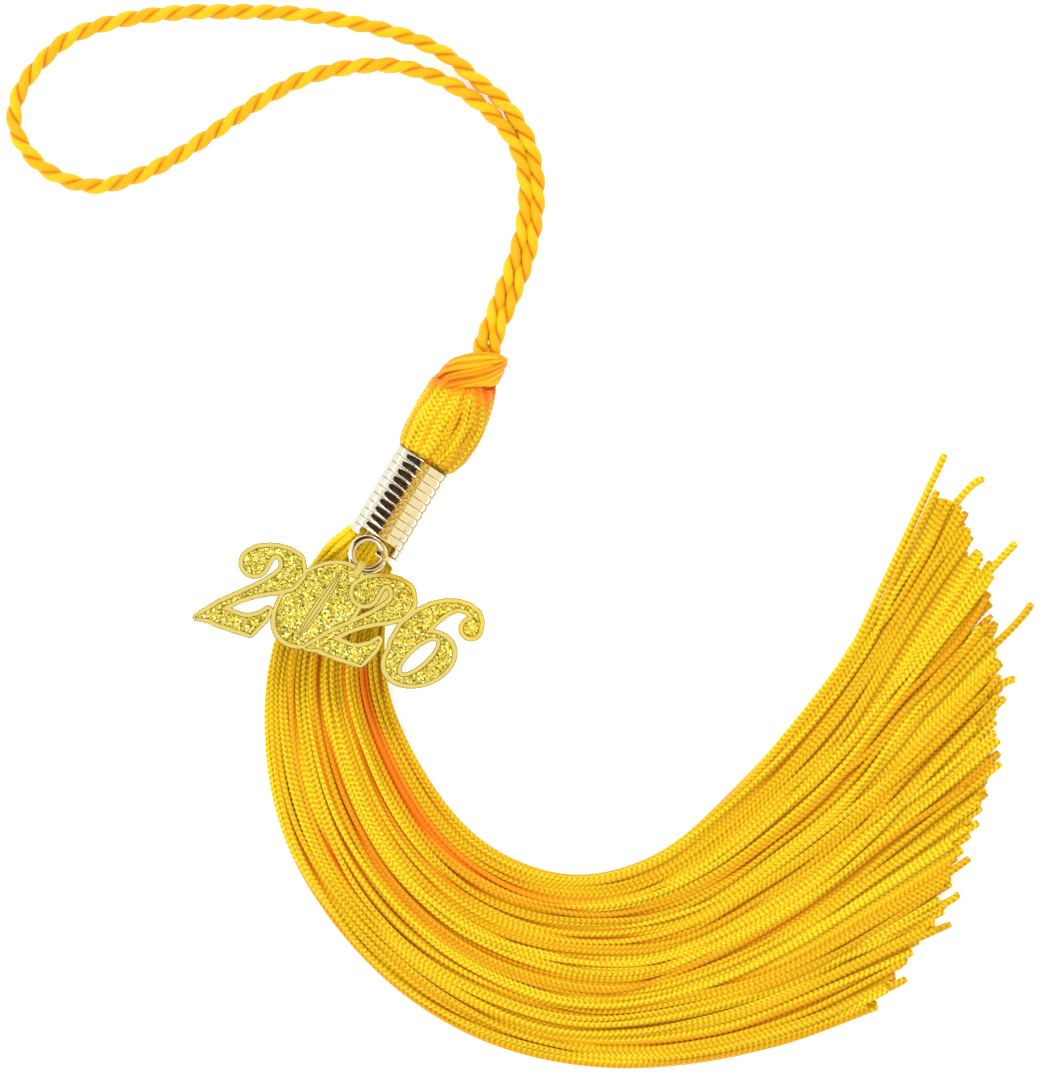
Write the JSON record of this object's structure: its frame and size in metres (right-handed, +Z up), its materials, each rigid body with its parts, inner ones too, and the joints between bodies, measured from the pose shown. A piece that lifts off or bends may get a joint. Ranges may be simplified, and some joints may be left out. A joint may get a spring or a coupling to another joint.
{
  "type": "graduation tassel",
  "caption": "Graduation tassel with a twisted hanging cord, yarn head, coiled metal band, long yarn skirt and a glitter year charm on a jump ring.",
  "frame": {"origin": "on the surface it lies on, under the middle of the tassel without its hanging cord", "axes": "+Z up from the surface, +X along the longer side of the tassel as it lies, towards the skirt's tips, +Y towards the hanging cord"},
  "size_m": [0.185, 0.1915, 0.0121],
  "materials": {
    "yarn": "satin rayon chainette, bright golden yellow",
    "cord": "satin rayon, two plies twisted",
    "thread": "plain",
    "band_metal": "polished, pale gold",
    "ring_metal": "polished, very pale gold",
    "charm_metal": "polished gold plate",
    "glitter": "clear resin over gold glitter flakes"
  },
  "bodies": {
    "head": {"yarn_head": "yarn", "yarn_neck": "yarn", "neck_binding": "thread", "coil_band": "band_metal", "stopper_knot": "cord", "cord_hitch": "yarn"},
    "ring": {"charm_ring": "ring_metal"},
    "charm": {"charm_plate": "charm_metal", "charm_bail": "charm_metal", "glitter_first": "glitter", "glitter_second": "glitter", "glitter_third": "glitter", "glitter_fourth": "glitter"},
    "skirt": {"skirt_root": "yarn", "loose_ends": "yarn", "skirt_lock_1": "yarn", "skirt_lock_2": "yarn", "skirt_lock_3": "yarn", "skirt_lock_4": "yarn", "skirt_lock_5": "yarn", "skirt_lock_6": "yarn", "skirt_lock_7": "yarn", "skirt_lock_8": "yarn", "skirt_lock_9": "yarn", "skirt_lock_10": "yarn"},
    "cord": {"cord_loop": "cord"}
  },
  "joints": [
    {"name": "charm_swing", "type": "hinge", "parent": "head", "child": "ring", "pos_m": [-0.04427, 0.02779, 0.01], "axis": [0, 0, 1], "range_deg": [-25, 25]},
    {"name": "charm_lift", "type": "hinge", "parent": "ring", "child": "charm", "pos_m": [-0.04576, 0.0253, 0.01], "axis": [-0.8581, 0.5135, 0], "range_deg": [0, 30]},
    {"name": "skirt_sweep", "type": "hinge", "parent": "head", "child": "skirt", "pos_m": [-0.04632, 0.02436, 0], "axis": [0, 0, 1], "range_deg": [-15, 15]},
    {"name": "cord_sweep", "type": "hinge", "parent": "head", "child": "cord", "pos_m": [-0.02262, 0.06279, 0.0055], "axis": [0, 0, 1], "range_deg": [-25, 25]}
  ]
}
